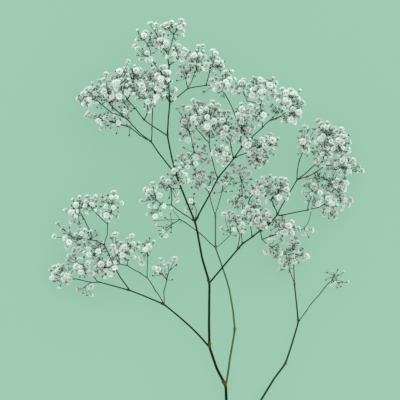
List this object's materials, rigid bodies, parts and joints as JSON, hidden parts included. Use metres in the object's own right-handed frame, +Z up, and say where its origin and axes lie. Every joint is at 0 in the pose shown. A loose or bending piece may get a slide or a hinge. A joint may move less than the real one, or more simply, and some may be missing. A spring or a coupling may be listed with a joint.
{
  "type": "gypsophila stem",
  "caption": "A cut baby's breath stem with double white florets, its branches forking into fine sprays, lying on a flat surface.",
  "frame": {"origin": "centre of the bounding box, on the surface that the stem lies on", "axes": "+Y from the cut end to the flowering tip, +X to the right seen from above, +Z up from the surface"},
  "size_m": [0.3178, 0.4811, 0.0905],
  "materials": {
    "woody_stem": "dark brown-green bark, satin, with paler swollen nodes",
    "green_stem": "fresh lime-green stem, satin",
    "flower_spray": "soft matt white petals on thin dark green twigs"
  },
  "bodies": {
    "root": {"main_stem": "woody_stem", "second_stem": "green_stem", "right_stem": "woody_stem", "left_branch": "woody_stem", "left_upper_twig": "woody_stem", "upper_left_branch": "woody_stem", "upper_left_inner": "woody_stem", "top_right_twig": "woody_stem", "right_diagonal": "woody_stem", "right_branch": "woody_stem", "upper_right_twig": "woody_stem", "right_twig": "woody_stem", "far_upper_twig": "woody_stem", "crown_spray": "flower_spray", "top_left_spray": "flower_spray", "upper_middle_spray": "flower_spray", "top_inner_spray": "flower_spray", "top_right_spray": "flower_spray", "top_right_far_spray": "flower_spray", "upper_left_west_spray": "flower_spray", "upper_left_low_spray": "flower_spray", "upper_left_middle_spray": "flower_spray", "upper_left_inner_spray": "flower_spray", "upper_left_rising_spray": "flower_spray", "centre_left_spray": "flower_spray", "centre_rising_spray": "flower_spray", "centre_fan_spray": "flower_spray", "centre_low_spray": "flower_spray", "centre_upper_spray": "flower_spray", "centre_shaded_spray": "flower_spray", "upper_rising_spray": "flower_spray", "upper_right_crown": "flower_spray", "upper_far_spray": "flower_spray", "right_upper_spray": "flower_spray", "right_crown_spray": "flower_spray", "right_inner_spray": "flower_spray", "far_right_spray": "flower_spray", "right_low_spray": "flower_spray", "far_low_spray": "flower_spray", "middle_right_spray": "flower_spray", "middle_high_spray": "flower_spray", "centre_right_spray": "flower_spray", "centre_near_spray": "flower_spray", "middle_near_spray": "flower_spray", "lower_right_spray": "flower_spray", "right_stem_spray": "flower_spray", "right_side_spray": "flower_spray", "middle_left_spray": "flower_spray", "middle_rising_spray": "flower_spray", "middle_low_spray": "flower_spray", "stem_node_spray": "flower_spray", "stem_front_spray": "flower_spray", "second_stem_spray": "flower_spray", "second_side_spray": "flower_spray", "left_outer_spray": "flower_spray", "left_middle_spray": "flower_spray", "left_crown_spray": "flower_spray", "left_low_spray": "flower_spray", "left_inner_spray": "flower_spray", "left_fork_spray": "flower_spray"}
  },
  "joints": []
}
